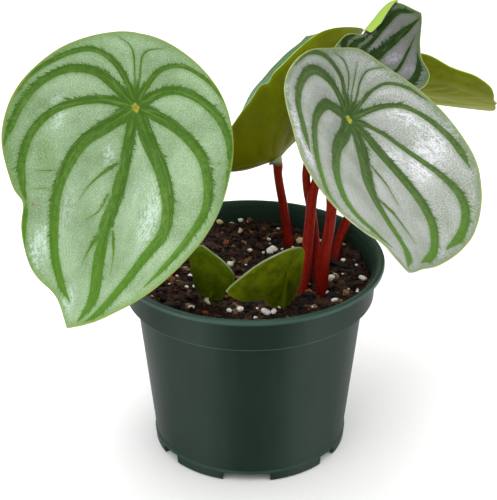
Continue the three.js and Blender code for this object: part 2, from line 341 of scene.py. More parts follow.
for (r0, z0), (r1, z1) in zip(POT_SECTION, POT_SECTION[1:]):
    step = ((r1 - r0) * MM, 0, (z1 - z0) * MM)
    bpy.ops.mesh.extrude_vertices_move(TRANSFORM_OT_translate={"value": step})
bpy.ops.mesh.select_all(action="SELECT")
bpy.ops.mesh.spin(steps=160, angle=2 * math.pi, center=at(0, 0, 0), axis=(0, 0, 1))
bpy.ops.mesh.select_all(action="SELECT")
bpy.ops.mesh.remove_doubles(threshold=0.00002)
bpy.ops.mesh.normals_make_consistent(inside=False)
bpy.ops.object.mode_set(mode="OBJECT")
settle(pot)
print("pot shell:", len(pot.data.polygons), "faces")

# %% Cut the foot's notches and the drain holes
NOTCH_WIDTHS = {-92: 19, 88: 19, -145: 9.5, -37: 9.5, 35: 9.5, 143: 9.5}
NOTCH_TALL = 3.8
FOOT_R = 39.1
DRAIN_CIRCLE_R = 27
DRAIN_R = 3.5
cores = []
for bearing, wide in NOTCH_WIDTHS.items():
    turn = math.radians(bearing)
    out_x, out_y = math.cos(turn), math.sin(turn)
    clear()
    bpy.ops.mesh.primitive_cube_add(
        size=1, location=at(FOOT_R * out_x, FOOT_R * out_y, 0),
        rotation=(0, 0, turn), scale=(12 * MM, wide * MM, 2 * NOTCH_TALL * MM),
    )
    cores.append(newest(f"notch_core_{len(cores)}"))
    bpy.ops.mesh.primitive_cylinder_add(
        vertices=32, radius=DRAIN_R * MM, depth=8 * MM,
        location=at(DRAIN_CIRCLE_R * out_x, DRAIN_CIRCLE_R * out_y, bottom_z),
    )
    cores.append(newest(f"drain_core_{len(cores)}"))
clear()
for core in cores:
    core.select_set(True)
bpy.context.view_layer.objects.active = cores[0]
bpy.ops.object.join()
cutter = cores[0]
only(pot)
cut = pot.modifiers.new("cut", "BOOLEAN")
cut.operation = "DIFFERENCE"
cut.object = cutter
cut.solver = "EXACT"
rounding = pot.modifiers.new("rounding", "BEVEL")
rounding.width = 0.25 * MM
rounding.segments = 2
rounding.limit_method = "ANGLE"
rounding.angle_limit = math.radians(50)
settle(pot)
bpy.data.objects.remove(cutter)
shade(pot, 40)
print("pot with its notches:", len(pot.data.polygons), "faces")

# %% [markdown]
# ## Dark green plastic
# Moulded polypropylene is dark green with a satin skin. Up close it has a faint orange-peel texture, soft
# upright flow marks from the mould and a slight cloudiness. Noise at three sizes gives the three, each far
# too weak to read as a pattern. The wall inside the lip, which faces the light, is painted paler as painted
# light, and the edges of the foot, the collar and the lip get a painted highlight, a lighter colour, and a
# smoother finish. The heights tell where those edges are, and a mark on the corners tells the inside wall.

# %% Plastic finish
# Heights over the floor in metres, as a material reads them: where the lip and the edges of the foot and the
# collar get their painted highlight.
LIP_HIGHLIGHT = (0.0796, 0.0812)
HIGHLIGHT_EDGES = ((0.0038, 0.0050), (0.0663, 0.0675))
EDGE_BLUR = 0.0004
plastic = Finish("green_plastic", 0.42, 0.08)
plastic.surface.inputs["Specular Tint"].default_value = (0.7, 1.0, 0.86, 1.0)
cloud = plastic.grain(plastic.place, 18.0, 4.0)
flow = plastic.grain(plastic.stretch(plastic.place, 260.0, 260.0, 14.0), 1.0, 3.0)
skin = plastic.grain(plastic.place, 900.0, 2.0)
green = plastic.coats(
    seen(9, 20, 15),
    (seen(12, 25, 19), cloud, 0.35, 0.7),
    (seen(18, 32, 26), flow, 0.5, 0.85, 0.0, 0.3),
)
# Painted light: the inside wall is coloured paler, as it faces the light.
green = plastic.mix(plastic.attribute("inner"), green, seen(38, 56, 49))
level = plastic.level()
painted_highlight = plastic.ramp(level, *LIP_HIGHLIGHT)
for low, high in HIGHLIGHT_EDGES:
    rise = plastic.ramp(level, low, low + EDGE_BLUR)
    fall = plastic.ramp(level, high, high - EDGE_BLUR, 0.0, 0.5)
    painted_highlight = plastic.math("MAXIMUM", painted_highlight, plastic.math("MULTIPLY", rise, fall))
# Painted highlight: the lip and the edges of the foot and the collar are coloured lighter, and are also made
# smoother.
plastic.colour(plastic.mix(plastic.math("MULTIPLY", painted_highlight, 0.8), green, seen(56, 78, 69)))
satin = plastic.ramp(plastic.plus(cloud, flow, 0.5), 0.5, 1.1, 0.38, 0.48)
plastic.rough(plastic.plus(satin, painted_highlight, -0.2))
plastic.relief(plastic.plus(skin, flow, 0.6), 0.05, 0.3)

# %% Mark the inside wall and finish the pot
# The line between the inside and the outside of the wall, in mm. It leans outwards over the rolled lip.
WALL_MIDDLE_R = 49.55
INSIDE_Z = 67.6
ROLL_Z = 78.4
ROLL_SLOPE = 0.75
out_x, out_y, tall = ((corners(pot) - at(0, 0, 0)) / MM).T
within = np.hypot(out_x, out_y) < WALL_MIDDLE_R + ROLL_SLOPE * np.maximum(tall - ROLL_Z, 0)
mark(pot, "inner", within & (tall > INSIDE_Z))
print("corners on the inside wall:", int((within & (tall > INSIDE_Z)).sum()))
pot.data.materials.clear()
pot.data.materials.append(plastic.material)
belongs(pot, "pot", "pot")

shiny = bpy.data.collections.new("lit_by_strips")
shiny.objects.link(pot)
for strip in STRIPS:
    strip.light_linking.receiver_collection = shiny
    strip.light_linking.blocker_collection = shiny

# %% [markdown]
# ## The soil
# Potting mix is dark peat and bark fines with white perlite in it. The bulk is one solid under a lumpy top,
# and what the eye sees is the loose bits on it. The top is a fine grid drawn into a round disc and lifted by
# noise. Its edge is extruded down inside the pot, past the ledge under the collar, and closed.

# %% Bulk of the soil
SOIL_Z = 74.0
SOIL_R = 48.2
LEDGE_Z = 68.6
BODY_R = 44.3
BASE_R = 37.8
LEDGE_TO_BASE = 62.6


def lump(x, y):
    """Height of the soil over its mean level, in mm."""
    wave = 0.7 * math.sin(0.31 * x + 1.1) * math.cos(0.27 * y - 0.4)
    wave += 0.45 * math.sin(0.83 * x - 0.6 * y) + 0.3 * math.cos(1.31 * y + 0.7 * x + 2)
    place = Vector((x, y, 0))
    for height, scale in ((0.9, 0.22), (0.7, 0.55), (0.45, 1.3)):
        wave += height * noise.noise(place * scale)
    return wave


clear()
bpy.ops.mesh.primitive_grid_add(x_subdivisions=150, y_subdivisions=150, size=2)
soil = newest("soil_bulk")
rows = corners(soil)
disc_x = SOIL_R * rows[:, 0] * np.sqrt(1 - rows[:, 1] ** 2 / 2)
disc_y = SOIL_R * rows[:, 1] * np.sqrt(1 - rows[:, 0] ** 2 / 2)
move_corners(soil, [at(x, y, SOIL_Z + lump(x, y)) for x, y in zip(disc_x, disc_y)])
bpy.ops.object.mode_set(mode="EDIT")
bpy.ops.mesh.select_mode(type="EDGE")
bpy.ops.mesh.select_all(action="DESELECT")
bpy.ops.mesh.select_non_manifold()
ledge = at(0, 0, LEDGE_Z)
bpy.ops.mesh.extrude_region_move()
bpy.ops.transform.resize(value=(1, 1, 0), center_override=ledge)
for drop, width in ((0.0, BODY_R / SOIL_R), (LEDGE_TO_BASE, BASE_R / BODY_R)):
    bpy.ops.mesh.extrude_region_move()
    bpy.ops.transform.resize(value=(width, width, 1), center_override=ledge)
    bpy.ops.transform.translate(value=(0, 0, -drop * MM))
bpy.ops.mesh.edge_face_add()
bpy.ops.mesh.select_all(action="SELECT")
bpy.ops.mesh.normals_make_consistent(inside=False)
bpy.ops.object.mode_set(mode="OBJECT")
settle(soil)
shade(soil, 60)

peat = Finish("peat", 0.95, 0.25)
coarse = peat.grain(peat.place, 260.0, 5.0, 0.7)
bits = peat.cells(peat.place, 420.0)
peat.colour(peat.coats(
    seen(18, 11, 9),
    (seen(58, 36, 28), coarse, 0.35, 0.65),
    (seen(92, 56, 38), bits, 0.15, 0.5, 0.55, 0.0),
))
peat.relief(peat.math("ADD", coarse, bits), 1.2, 0.9)
soil.data.materials.append(peat.material)
belongs(soil, "soil", "soil")
print("soil:", len(soil.data.polygons), "faces")

# %% [markdown]
# ## Loose bits
# The loose bits decide whether soil looks like soil. A few rough lumps of under a hundred faces are modelled
# once. Copies of them, each turned, stretched and toned in its own way, are laid over the top by a seeded
# draw and joined into one mesh. The bigger perlite grains and bark chips lie where the photograph shows
# them, and the stalks' places stay free.

# %% Rough lumps and how to strew them
def rough_lump(seed, jag):
    clear()
    bpy.ops.mesh.primitive_ico_sphere_add(subdivisions=2, radius=0.5)
    stone = newest(f"lump_{seed}")
    rows = corners(stone)
    shift = Vector((7.3 * seed, 1.7 * seed, 0))
    push = [1 + jag * noise.noise(Vector(row) * 2.4 + shift) for row in rows]
    shape = rows * np.array(push)[:, None], [tuple(face.vertices) for face in stone.data.polygons]
    bpy.data.objects.remove(stone)
    return shape


ROUGH = [rough_lump(seed, 0.9) for seed in range(5)]
ROUND = [rough_lump(seed, 0.4) for seed in range(5, 9)]
# Places in mm that stay free for the stalks.
STALKS = [
    (-31.5, 0), (27.9, -17.3), (16.5, 23.9), (20, -18.1), (34.6, 13.8), (-15.2, -31.4), (12.8, -33.6),
    (27, -8.9),
]
STALK_ROOM = 2.2


def strew(name, wanted, seed, lumps):
    """Joins one turned, stretched lump for each (x, y, length, width, height, lift, tone) into a mesh."""
    draw = random.Random(seed)
    points, faces, tones = [], [], []
    for x, y, long, wide, high, lift, tone in wanted:
        rows, polygons = draw.choice(lumps)
        turn, lean = draw.uniform(0, 2 * math.pi), draw.uniform(-0.5, 0.5)
        rows = rows * np.array([long, wide, high])
        c, s = math.cos(lean), math.sin(lean)
        rows = rows @ np.array([[1, 0, 0], [0, c, s], [0, -s, c]])
        c, s = math.cos(turn), math.sin(turn)
        rows = rows @ np.array([[c, s, 0], [-s, c, 0], [0, 0, 1]])
        start = len(points)
        z = SOIL_Z + lump(x, y) + lift
        points += [at(x + row[0], y + row[1], z + row[2]) for row in rows]
        faces += [tuple(start + k for k in face) for face in polygons]
        tones += [tone] * len(rows)
    mesh = bpy.data.meshes.new(name)
    mesh.from_pydata(points, [], faces)
    piece = bpy.data.objects.new(name, mesh)
    bpy.context.scene.collection.objects.link(piece)
    mark(piece, "tone", tones)
    shade(piece, 50)
    belongs(piece, "soil")
    print(name, len(wanted), "bits,", len(faces), "faces")
    return piece


def open_ground(draw, margin, reach=46.5):
    """A place on the soil that keeps clear of the stalks."""
    while True:
        x, y = draw.uniform(-reach, reach), draw.uniform(-reach, reach)
        free = all(math.hypot(x - a, y - b) > STALK_ROOM + margin for a, b in STALKS)
        if math.hypot(x, y) < reach and free:
            return x, y


# %% Bark and peat crumbs
draw = random.Random(11)
crumbs = []
for _ in range(1500):
    size = draw.choice((0.8, 1.0, 1.3, 1.6, 2.0, 2.6, 3.4))
    x, y = open_ground(draw, size / 2)
    flat = draw.uniform(0.5, 0.9)
    long = size * draw.uniform(0.9, 1.5)
    lift = draw.uniform(-0.2, 0.7)
    crumbs.append((x, y, long, size, size * flat, lift, draw.random()))
# Bark chips by place, length and width in mm.
CHIPS = [
    (23, -18, 5.2, 3.6), (-6, -27, 2.8, 2.2), (-17, -32, 2.6, 2.0), (-10, 27, 2.6, 2.2), (0, 46, 2.4, 2.2),
]
for x, y, long, wide in CHIPS:
    crumbs.append((x, y, long, wide, wide * 0.8, 0.9, 1.6))
crumb_piece = strew("bark_crumbs", crumbs, 21, ROUGH)

bark = Finish("bark", 0.85, 0.3)
tone = bark.attribute("tone")
fibre = bark.grain(bark.place, 700.0, 4.0, 0.7)
bark.colour(bark.coats(
    seen(16, 9, 7),
    (seen(62, 40, 30), tone, 0.15, 0.75),
    (seen(104, 68, 44), tone, 0.72, 0.9),
    (seen(140, 112, 80), tone, 0.93, 1.0),
    (seen(142, 80, 40), tone, 1.2, 1.5),
    (seen(20, 13, 10), fibre, 0.4, 0.7, 0.0, 0.45),
))
bark.relief(fibre, 0.5, 0.8)
crumb_piece.data.materials.append(bark.material)

# %% Perlite
# The larger grains and the pale bits of bark by place, length and width in mm.
GRAINS = [
    (9, 17, 6.0, 3.8), (0, 17, 2.0, 2.0), (29, 27, 2.0, 2.0), (-4, 45, 2.4, 2.0), (-8, 6, 3.2, 2.6),
    (-16, -27, 4.0, 3.2), (-23, -31, 1.7, 1.6), (-22, -30, 1.7, 1.6), (-4, -32, 3.2, 2.8),
    (6, -35, 4.8, 2.8), (9, -35, 2.4, 2.4), (-8, -36, 2.0, 2.0), (2, -37, 2.0, 1.6), (32, -9, 3.6, 3.2),
    (38, 9, 2.0, 2.0), (45, -6, 4.0, 2.4), (33, -24, 3.2, 2.0), (30, -18, 2.0, 2.0),
    (-24, -5, 2.0, 2.0), (-25, -14, 1.6, 1.6), (-22, -14, 1.6, 1.6),
]
PALE_BARK = [
    (21, 25, 3.6, 3.2), (-13, 44, 3.2, 2.8), (-8, 44, 2.8, 2.4), (-4, 34, 3.2, 2.0), (23, -10, 2.4, 1.2),
    (39, 24, 2.0, 1.6), (34, -2, 2.4, 1.6),
]
draw = random.Random(5)
grains = [(x, y, long, wide, wide * 0.85, 1.0 + wide * 0.12, 0.0) for x, y, long, wide in GRAINS]
grains += [(x, y, long, wide, wide * 0.8, 1.0 + wide * 0.1, 1.0) for x, y, long, wide in PALE_BARK]
for _ in range(70):
    size = draw.choice((0.8, 1.0, 1.2, 1.5))
    x, y = open_ground(draw, size / 2)
    lift = draw.uniform(0.3, 1.0)
    grains.append((x, y, size * 1.2, size, size * 0.8, lift, draw.choice((0.0, 0.3, 0.8))))
perlite_piece = strew("perlite", grains, 33, ROUND)

perlite = Finish("perlite", 0.8, 0.3)
pores = perlite.cells(perlite.place, 1500.0)
perlite.colour(perlite.coats(
    seen(222, 220, 214),
    (seen(252, 250, 246), perlite.grain(perlite.place, 500.0), 0.35, 0.7),
    (seen(206, 184, 138), perlite.attribute("tone"), 0.2, 1.0),
    (seen(120, 104, 88), pores, 0.0, 0.35, 0.35, 0.0),
))
perlite.relief(pores, 0.25, 0.7)
perlite_piece.data.materials.append(perlite.material)

# %% [markdown]
# ## How a leaf is drawn
# A peperomia leaf is shield-shaped, and its stalk joins it near the middle, at the navel. Its outline is the
# reach from the navel at a few bearings from the tip. Its surface is a flat plan of u millimetres towards
# the tip and v to the left, lifted by a few bends: bow and cup curl it along and across, and twist, skew,
# nod and flare make it uneven, as grown leaves are. Dents notch its edge. The numbers are close to those of
# the model's own leaves, so each blade lies within a few millimetres of its solid.

# %% Outlines and bends
SHARED_BEARINGS = [0, 9, 22, 42, 65, 90, 120, 150, 180]
SHARED_REACH = [81, 75, 70.5, 57, 46.5, 38.5, 32.5, 29, 28]
BEND_REACH = 40
OWN_BEARINGS = np.array([-180, -135, -100, -70, -45, -22, 0, 22, 45, 70, 100, 135], dtype=float)

# The navel is in mm, the turn in degrees (compass, rise and roll), and the reach in mm at the own bearings.
# A dent has its bearing, its depth in mm and its half width in degrees.
LEAVES = {
    "left": {
        "navel": (-42.6, -18.2, 152.2), "turn": (-127, -76, -10),
        "reach": (27.8, 30.8, 36.9, 45, 54, 71, 79.1, 67.6, 56, 43.7, 36, 30.5),
        "bend": (5.5, 7.5, 9.5, -14, 1, -0.5), "dents": ((-39, 2, 4), (-10, 0.6, 6), (9, -2, 7)),
    },
    "right": {
        "navel": (37.8, -7.8, 143.8), "turn": (-93, -27, -45),
        "reach": (29.5, 26.5, 33.5, 46, 54.5, 75, 84.5, 69, 60.5, 47.5, 37.3, 32),
        "bend": (11.5, 17, -1.5, 6, -2.5, -10.5), "dents": ((-7, 3.5, 4), (-38, -2, 8)),
    },
    "back_left": {
        "navel": (10.6, 35.4, 109.8), "turn": (56, 0, -41),
        "reach": (30, 32.3, 36.7, 48, 59.2, 63.5, 62.5, 59.5, 56.5, 43.5, 29, 24),
        "bend": (22.5, 24, 7, -6.5, -4.5, -18),
        "dents": ((-117, 0.9, 3.5), (-133, 0.6, 8), (-9, -3.5, 8), (9, -2.2, 7), (35, -3, 7)),
    },
    "top": {
        "navel": (48.2, 34.3, 152.1), "turn": (54, 7, 21),
        "reach": (16, 18.5, 24, 24.5, 22, 24.6, 35.9, 33.8, 16, 16, 15, 15.5),
        "bend": (6, 5, 1, 0.5, 3, 0), "dents": ((31, 2, 7),),
    },
    "back_right": {
        "navel": (59.7, 74.4, 125.1), "turn": (-7, -5, -41),
        "reach": (14, 15, 22, 31.5, 34.5, 45, 47, 50, 38.5, 27, 20, 15),
        "bend": (-0.5, 12, 2, -0.5, 0, -2), "dents": ((-10, -1, 6), (9, -1, 6), (-33, -1.2, 6)),
    },
    "young_left": {
        "navel": (-13.9, -28, 80.3), "turn": (243, 82, -8),
        "reach": (3.5, 5.5, 9.5, 11, 15.5, 20.5, 24, 19.5, 14.8, 6, 4.5, 4),
        "bend": (-7.5, 15, -4.5, 3.5, -6.5, 2.5), "dents": (),
    },
    "young_centre": {
        "navel": (13.7, -30, 91), "turn": (217, -4, 76),
        "reach": (8.2, 11, 17.2, 16.6, 14.4, 20.6, 27, 19.8, 14.7, 12, 10.8, 10.3),
        "bend": (4, -10.5, -1.5, 1, 0, 0), "dents": (),
    },
    "young_hidden": {
        "navel": (21.5, 15, 130), "turn": (50, 50, 0),
        "reach": (5, 6, 8, 9, 11, 15, 16, 11, 7, 5, 4.5, 4.5),
        "bend": (4, 10, 0, 0, 0, 0), "dents": (),
    },
}


def smooth_through(x, y, q):
    """Smooth curve through the points (x, y), read at q."""
    x, y = np.asarray(x, dtype=float), np.asarray(y, dtype=float)
    slope = np.empty_like(y)
    slope[1:-1] = (y[2:] - y[:-2]) / (x[2:] - x[:-2])
    slope[0] = (y[1] - y[0]) / (x[1] - x[0])
    slope[-1] = (y[-1] - y[-2]) / (x[-1] - x[-2])
    i = np.clip(np.searchsorted(x, q, side="right") - 1, 0, len(x) - 2)
    h = x[i + 1] - x[i]
    s = (q - x[i]) / h
    start = (2 * s**3 - 3 * s**2 + 1) * y[i] + (s**3 - 2 * s**2 + s) * h * slope[i]
    return start + (3 * s**2 - 2 * s**3) * y[i + 1] + (s**3 - s**2) * h * slope[i + 1]


def wrap(bearing):
    return (np.asarray(bearing, dtype=float) + 180) % 360 - 180


def shared_reach(bearing):
    return smooth_through(SHARED_BEARINGS, SHARED_REACH, np.abs(wrap(bearing)))


def edge_reach(leaf, bearing):
    """Reach of the leaf's edge from its navel, in mm."""
    share = np.array(leaf["reach"]) / shared_reach(OWN_BEARINGS)
    around = np.concatenate([OWN_BEARINGS - 360, OWN_BEARINGS, OWN_BEARINGS + 360])
    reach = shared_reach(bearing) * smooth_through(around, np.tile(share, 3), wrap(bearing))
    for place, deep, half in leaf["dents"]:
        reach = reach - deep * np.exp(-((wrap(bearing - place) / half) ** 2))
    return reach


def leaf_axes(leaf):
    """Directions of the tip, of the left side and of the upper face."""
    compass, rise, roll = (math.radians(angle) for angle in leaf["turn"])
    tip = np.array([math.cos(rise) * math.cos(compass), math.cos(rise) * math.sin(compass), math.sin(rise)])
    flat = np.cross([0, 0, 1], tip)
    flat /= np.linalg.norm(flat)
    left = flat * math.cos(roll) + np.cross(tip, flat) * math.sin(roll)
    return tip, left, np.cross(tip, left)


def leaf_place(leaf, u, v, lift=0.0):
    """Points of the blade's middle surface in mm about the pot's axis, lifted off it by some mm."""
    p, q = np.asarray(u) / BEND_REACH, np.asarray(v) / BEND_REACH
    bow, cup, twist, skew, nod, flare = leaf["bend"]
    rise = bow * p**2 + cup * q**2 + twist * p * q + skew * q**3 + nod * p**3 + flare * p * q**2 + lift
    tip, left, up = leaf_axes(leaf)
    return np.array(leaf["navel"]) + np.outer(u, tip) + np.outer(v, left) + np.outer(rise, up)


tip_reach = edge_reach(LEAVES["left"], np.array([0.0]))[0]
print("reach of the left leaf's tip:", round(float(tip_reach), 1), "mm")

# %% [markdown]
# ## Where the stripes run
# The dark stripes follow the veins. The main ones fan out from the navel and bend back in towards the tip,
# and short side ones lie between them. Each is a smooth line through a few points of the leaf's plan, in
# whole millimetres, with its half width near its start, at its middle and at its end. They were read off the
# photograph for the three leaves that show their upper face. The others borrow the left leaf's stripes,
# scaled to their size.

# %% Stripes
MAIN_STRIPES = {
    "left": [
        (((14, 0), (30, 0), (46, -1), (58, 2), (68, 6), (76, 4)), (2.3, 3.2, 2.3)),
        (((11, 9), (20, 17), (30, 23), (40, 25), (50, 21), (60, 17), (70, 12), (76, 6)), (3.2, 2.2, 1.1)),
        (((1, 10), (4, 20), (11, 30), (20, 35), (30, 37), (42, 34), (51, 30), (58, 26)), (2.1, 1.6, 0.8)),
        (((-7, 9), (-10, 17), (-8, 26), (-2, 34), (8, 39), (22, 41)), (1.7, 1.5, 0.5)),
        (((-9, 4), (-16, 9), (-19, 17), (-16, 26), (-10, 33), (-4, 37)), (1.2, 0.8, 0.4)),
        (((-11, 1), (-18, 1), (-22, 3), (-24, 9)), (0.8, 0.4, 0.3)),
        (((-11, -1), (-19, -2), (-23, -4), (-25, -8)), (0.8, 0.4, 0.3)),
        (((-9, -4), (-16, -10), (-19, -18), (-15, -27), (-7, -35), (4, -40)), (1.4, 0.9, 0.6)),
        (((-7, -9), (-11, -17), (-10, -26), (-3, -34), (8, -39), (22, -42)), (2.1, 1.3, 0.7)),
        (((-1, -10), (1, -20), (6, -29), (15, -35), (26, -37), (36, -36), (43, -34)), (1.7, 1.2, 0.9)),
        (((8, -9), (16, -18), (26, -23), (38, -25), (50, -23),
          (60, -19), (68, -12), (72, -5)), (2.5, 1.9, 1.4)),
    ],
    "right": [
        (((12, 4), (24, 4), (36, 2), (48, 2), (60, 4), (70, 6), (81, 1)), (3.2, 3.0, 1.6)),
        (((12, -5), (24, -12), (36, -17), (48, -21), (60, -22),
          (68, -19), (72, -12), (75, -5)), (2.9, 1.9, 1.4)),
        (((2, -9), (4, -15), (10, -20), (20, -25), (32, -28),
          (46, -30), (62, -30), (69, -27)), (2.3, 1.5, 0.7)),
        (((-5, -6), (-8, -14), (-5, -24), (2, -31), (12, -35),
          (21, -36), (31, -34), (44, -33)), (1.8, 1.9, 1.2)),
        (((-8, -4), (-14, -8), (-15, -16), (-12, -25), (-5, -33), (5, -39)), (1.4, 0.8, 0.7)),
        (((-9, -3), (-17, -4), (-21, -9), (-19, -16)), (0.9, 0.4, 0.3)),
        (((-10, -1), (-18, -1), (-24, -2)), (0.9, 0.4, 0.3)),
        (((-10, 2), (-18, 2), (-24, 4), (-28, 10)), (0.9, 0.4, 0.3)),
        (((-9, 4), (-17, 8), (-22, 13), (-22, 20), (-18, 27)), (1.1, 0.6, 0.6)),
        (((-8, 8), (-13, 15), (-14, 22), (-9, 30), (0, 37), (12, 42)), (1.3, 0.8, 0.9)),
        (((-1, 8), (1, 17), (8, 27), (16, 35), (25, 40), (35, 41), (45, 38), (53, 32)), (0.9, 1.1, 1.5)),
        (((6, 9), (13, 16), (21, 22), (31, 27), (42, 29), (53, 27), (61, 23), (70, 14)), (2.4, 1.9, 1.2)),
    ],
    "top": [
        (((11, 0), (21, 0), (33, -1)), (1.9, 1.9, 1.3)),
        (((2, 5), (9, 6), (16, 7), (23, 8), (30, 8), (34, 3)), (0.8, 1.1, 1.9)),
        (((-2, 8), (3, 10), (9, 9), (15, 9)), (1.2, 1.4, 0.9)),
        (((-5, 8), (0, 13), (6, 13), (11, 12)), (1.2, 1.5, 1.2)),
        (((-4, -7), (1, -11), (8, -10), (15, -8), (25, -5)), (0.8, 0.6, 0.4)),
        (((-7, -12), (-1, -19), (7, -18), (13, -15), (18, -11)), (1.4, 1.6, 0.8)),
    ],
}
SIDE_STRIPES = {
    "left": [
        (((44, -34), (52, -33), (60, -31), (66, -26)), (0.7, 0.6, 0.4)),
        (((22, -3), (26, -8), (32, -13), (38, -16)), (0.8, 0.4, 0.1)),
        (((34, -4), (40, -6), (45, -11)), (0.8, 0.4, 0.1)),
        (((49, -3), (54, -5), (59, -6)), (1.4, 0.8, 0.2)),
        (((46, 3), (52, 7), (58, 9)), (0.9, 0.4, 0.1)),
        (((13, 34), (13, 40)), (0.3, 0.3, 0.1)),
        (((29, -25), (30, -33)), (0.4, 0.3, 0.2)),
        (((36, -26), (37, -33)), (0.4, 0.2, 0.1)),
    ],
    "right": [
        (((21, 8), (27, 13), (37, 16)), (0.7, 0.4, 0.2)),
        (((42, 5), (45, 10), (50, 13), (58, 16)), (1.3, 0.7, 0.3)),
    ],
    "top": [],
}
BORROWED = {
    "back_left": 0.76, "back_right": 0.6, "young_left": 0.3, "young_centre": 0.33, "young_hidden": 0.25,
}


def smooth_line(points, steps=14):
    """A line through the points, with its length so far at each step."""
    points = np.array(points, dtype=float)
    row = np.vstack([2 * points[0] - points[1], points, 2 * points[-1] - points[-2]])
    t = np.linspace(0, 1, steps, endpoint=False)[:, None]
    parts = []
    for a, b, c, d in zip(row, row[1:], row[2:], row[3:]):
        square = 2 * a - 5 * b + 4 * c - d
        cube = 3 * b - a - 3 * c + d
        parts.append(0.5 * (2 * b + (c - a) * t + square * t**2 + cube * t**3))
    line = np.vstack([*parts, points[-1:]])
    length = np.concatenate([[0], np.cumsum(np.hypot(*np.diff(line, axis=0).T))])
    return line, length


def stripes_of(name):
    """The points and the half widths of a leaf's stripes, main ones first."""
    source, scale = ("left", BORROWED[name]) if name in BORROWED else (name, 1)
    lines = [(((0, 0), *points), widths) for points, widths in MAIN_STRIPES[source]]
    lines += SIDE_STRIPES[source]
    return [
        ([(scale * u, scale * v) for u, v in points], [scale * width for width in widths])
        for points, widths in lines
    ]


# How far the noise that frays a stripe is shifted from one stripe to the next, and how near its end a stripe
# starts to narrow, in mm.
STRIPE_SHIFT = 41
TAPER = 10


def read_stripes(name, u, v):
    """What the finish asks of each corner, in mm: how far outside the nearest stripe it is, how far along
    that stripe, how far across its middle (away from the midrib is positive), half the stripe's width there,
    and how much farther away the next stripe is."""
    lines = stripes_of(name)
    every = np.arange(len(u))
    outside, along, across, half, off = (np.empty((len(lines), len(u))) for _ in range(5))
    for k, (points, widths) in enumerate(lines):
        line, length = smooth_line(points)
        dx = u[:, None] - line[None, :, 0]
        dy = v[:, None] - line[None, :, 1]
        gap = np.hypot(dx, dy)
        near = gap.argmin(axis=1)
        off[k] = gap[every, near]
        ahead = np.gradient(line, axis=0)[near]
        share = length[near] / length[-1]
        wide = np.interp(share, (0, 0.15, 0.5, 1), (widths[0], widths[0], widths[1], widths[2]))
        to_end = length[-1] - length[near]
        half[k] = wide * np.clip(to_end / TAPER + 0.2, 0.2, 1)
        outside[k] = off[k] - half[k]
        along[k] = length[near] + STRIPE_SHIFT * k
        outward = 1 if line[:, 1].mean() > -0.5 else -1
        side = ahead[:, 0] * dy[every, near] - ahead[:, 1] * dx[every, near]
        across[k] = outward * off[k] * np.sign(side)
    best = outside.argmin(axis=0)
    lead = np.sort(outside, axis=0)[1] - outside[best, every]
    return outside[best, every], along[best, every], across[best, every], half[best, every], lead


print("stripes drawn:", sum(len(lines) for kind in (MAIN_STRIPES, SIDE_STRIPES) for lines in kind.values()))

# %% [markdown]
# ## Painted light on the silver
# The silver is air under the leaf's skin. It shines almost white where the leaf turns to the light and looks
# grey-green elsewhere. That light is painted: a few soft patches, each a place in the plan with two half
# lengths and a strength, lay a painted highlight. A strength below nought lays painted shade, a duller,
# greener silver.

# %% Painted light on the silver
PAINTED_LIGHT_PATCHES = {
    "left": (
        (18, -7, 9, 3, 0.7), (8, -28, 9, 3, 0.9), (36, 18, 13, 4, 0.9), (30, 9, 12, 5, 0.4),
        (72, -5, 6, 4, 0.7), (56, -27, 7, 3, 0.9), (42, -20, 12, 4, 0.5), (62, -24, 8, 4, 0.4),
        (4, -13, 5, 8, 0.3), (12, -3, 5, 4, -0.7), (23, -30, 11, 4, -0.6), (4, -36, 9, 4, -0.4),
        (-18, -12, 6, 12, -0.4), (-14, 18, 8, 16, -0.3), (56, -12, 12, 6, 0.2),
    ),
    "right": (
        (11, 17, 6, 5, 0.9), (13, 28, 10, 5, 0.8), (2, 32, 11, 6, 0.7), (-9, 23, 4, 9, 0.7),
        (-17, 15, 7, 7, 0.4), (33, 9, 8, 4, 0.3), (-27, 6, 4, 6, 0.3), (36, -39, 12, 3, 1.0),
        (46, -34, 6, 2, 0.8), (20, -43, 7, 2, 0.7), (18, -10, 7, 4, -0.4), (-8, -18, 6, 8, -0.4),
        (8, -26, 12, 4, -0.2), (38, 34, 9, 3, -0.4), (-17, -5, 6, 6, -0.4), (-14, 31, 5, 4, -0.7),
        (12, 9, 5, 3, -0.7),
    ),
    "top": (
        (8, -6, 6, 3, 0.8), (6, -15, 6, 3, 0.5), (6, -22, 8, 1.5, -1.0), (2, 9, 10, 3, -1.0),
        (34, 4, 4, 8, -0.7),
    ),
}


def read_painted_light(name, u, v):
    painted_light = np.zeros(len(u))
    for x, y, long, wide, strength in PAINTED_LIGHT_PATCHES.get(name, ()):
        painted_light += strength * np.exp(-(((u - x) / long) ** 2) - ((v - y) / wide) ** 2)
    return painted_light


print("patches of gleam:", {name: len(patches) for name, patches in PAINTED_LIGHT_PATCHES.items()})

# %% [markdown]
# ## A blade from a grid
# A flat grid is the easiest sheet to bend: one side of it becomes the bearing round the navel, the other
# the share of the reach, so the grid's rows turn into rings. The ring of no reach merges at the navel and
# the two ends merge opposite the tip. The silver parts between the stripes are puffed up a little, as on the
# plant, and the navel is dimpled. The top leaf has a stretch of edge that is folded back over itself, so its
# outer rings run out, round a small curl and back. Solidify gives the sheet its flesh, thinner at the edge,
# and finishes of their own for its underside and its edge.

# %% Folded edge
FLAP_SHARE = 0.2
FLAP_BEND = 0.35
CURL = 0.55


def flap_width(name, bearing):
    """How far the top leaf's edge is folded back over itself, in mm."""
    if name != "top":
        return np.zeros_like(bearing)
    return np.interp(bearing, (17, 19.5, 21.5, 24, 30, 36, 43), (0, 1.5, 6, 11, 8.5, 5.5, 0))


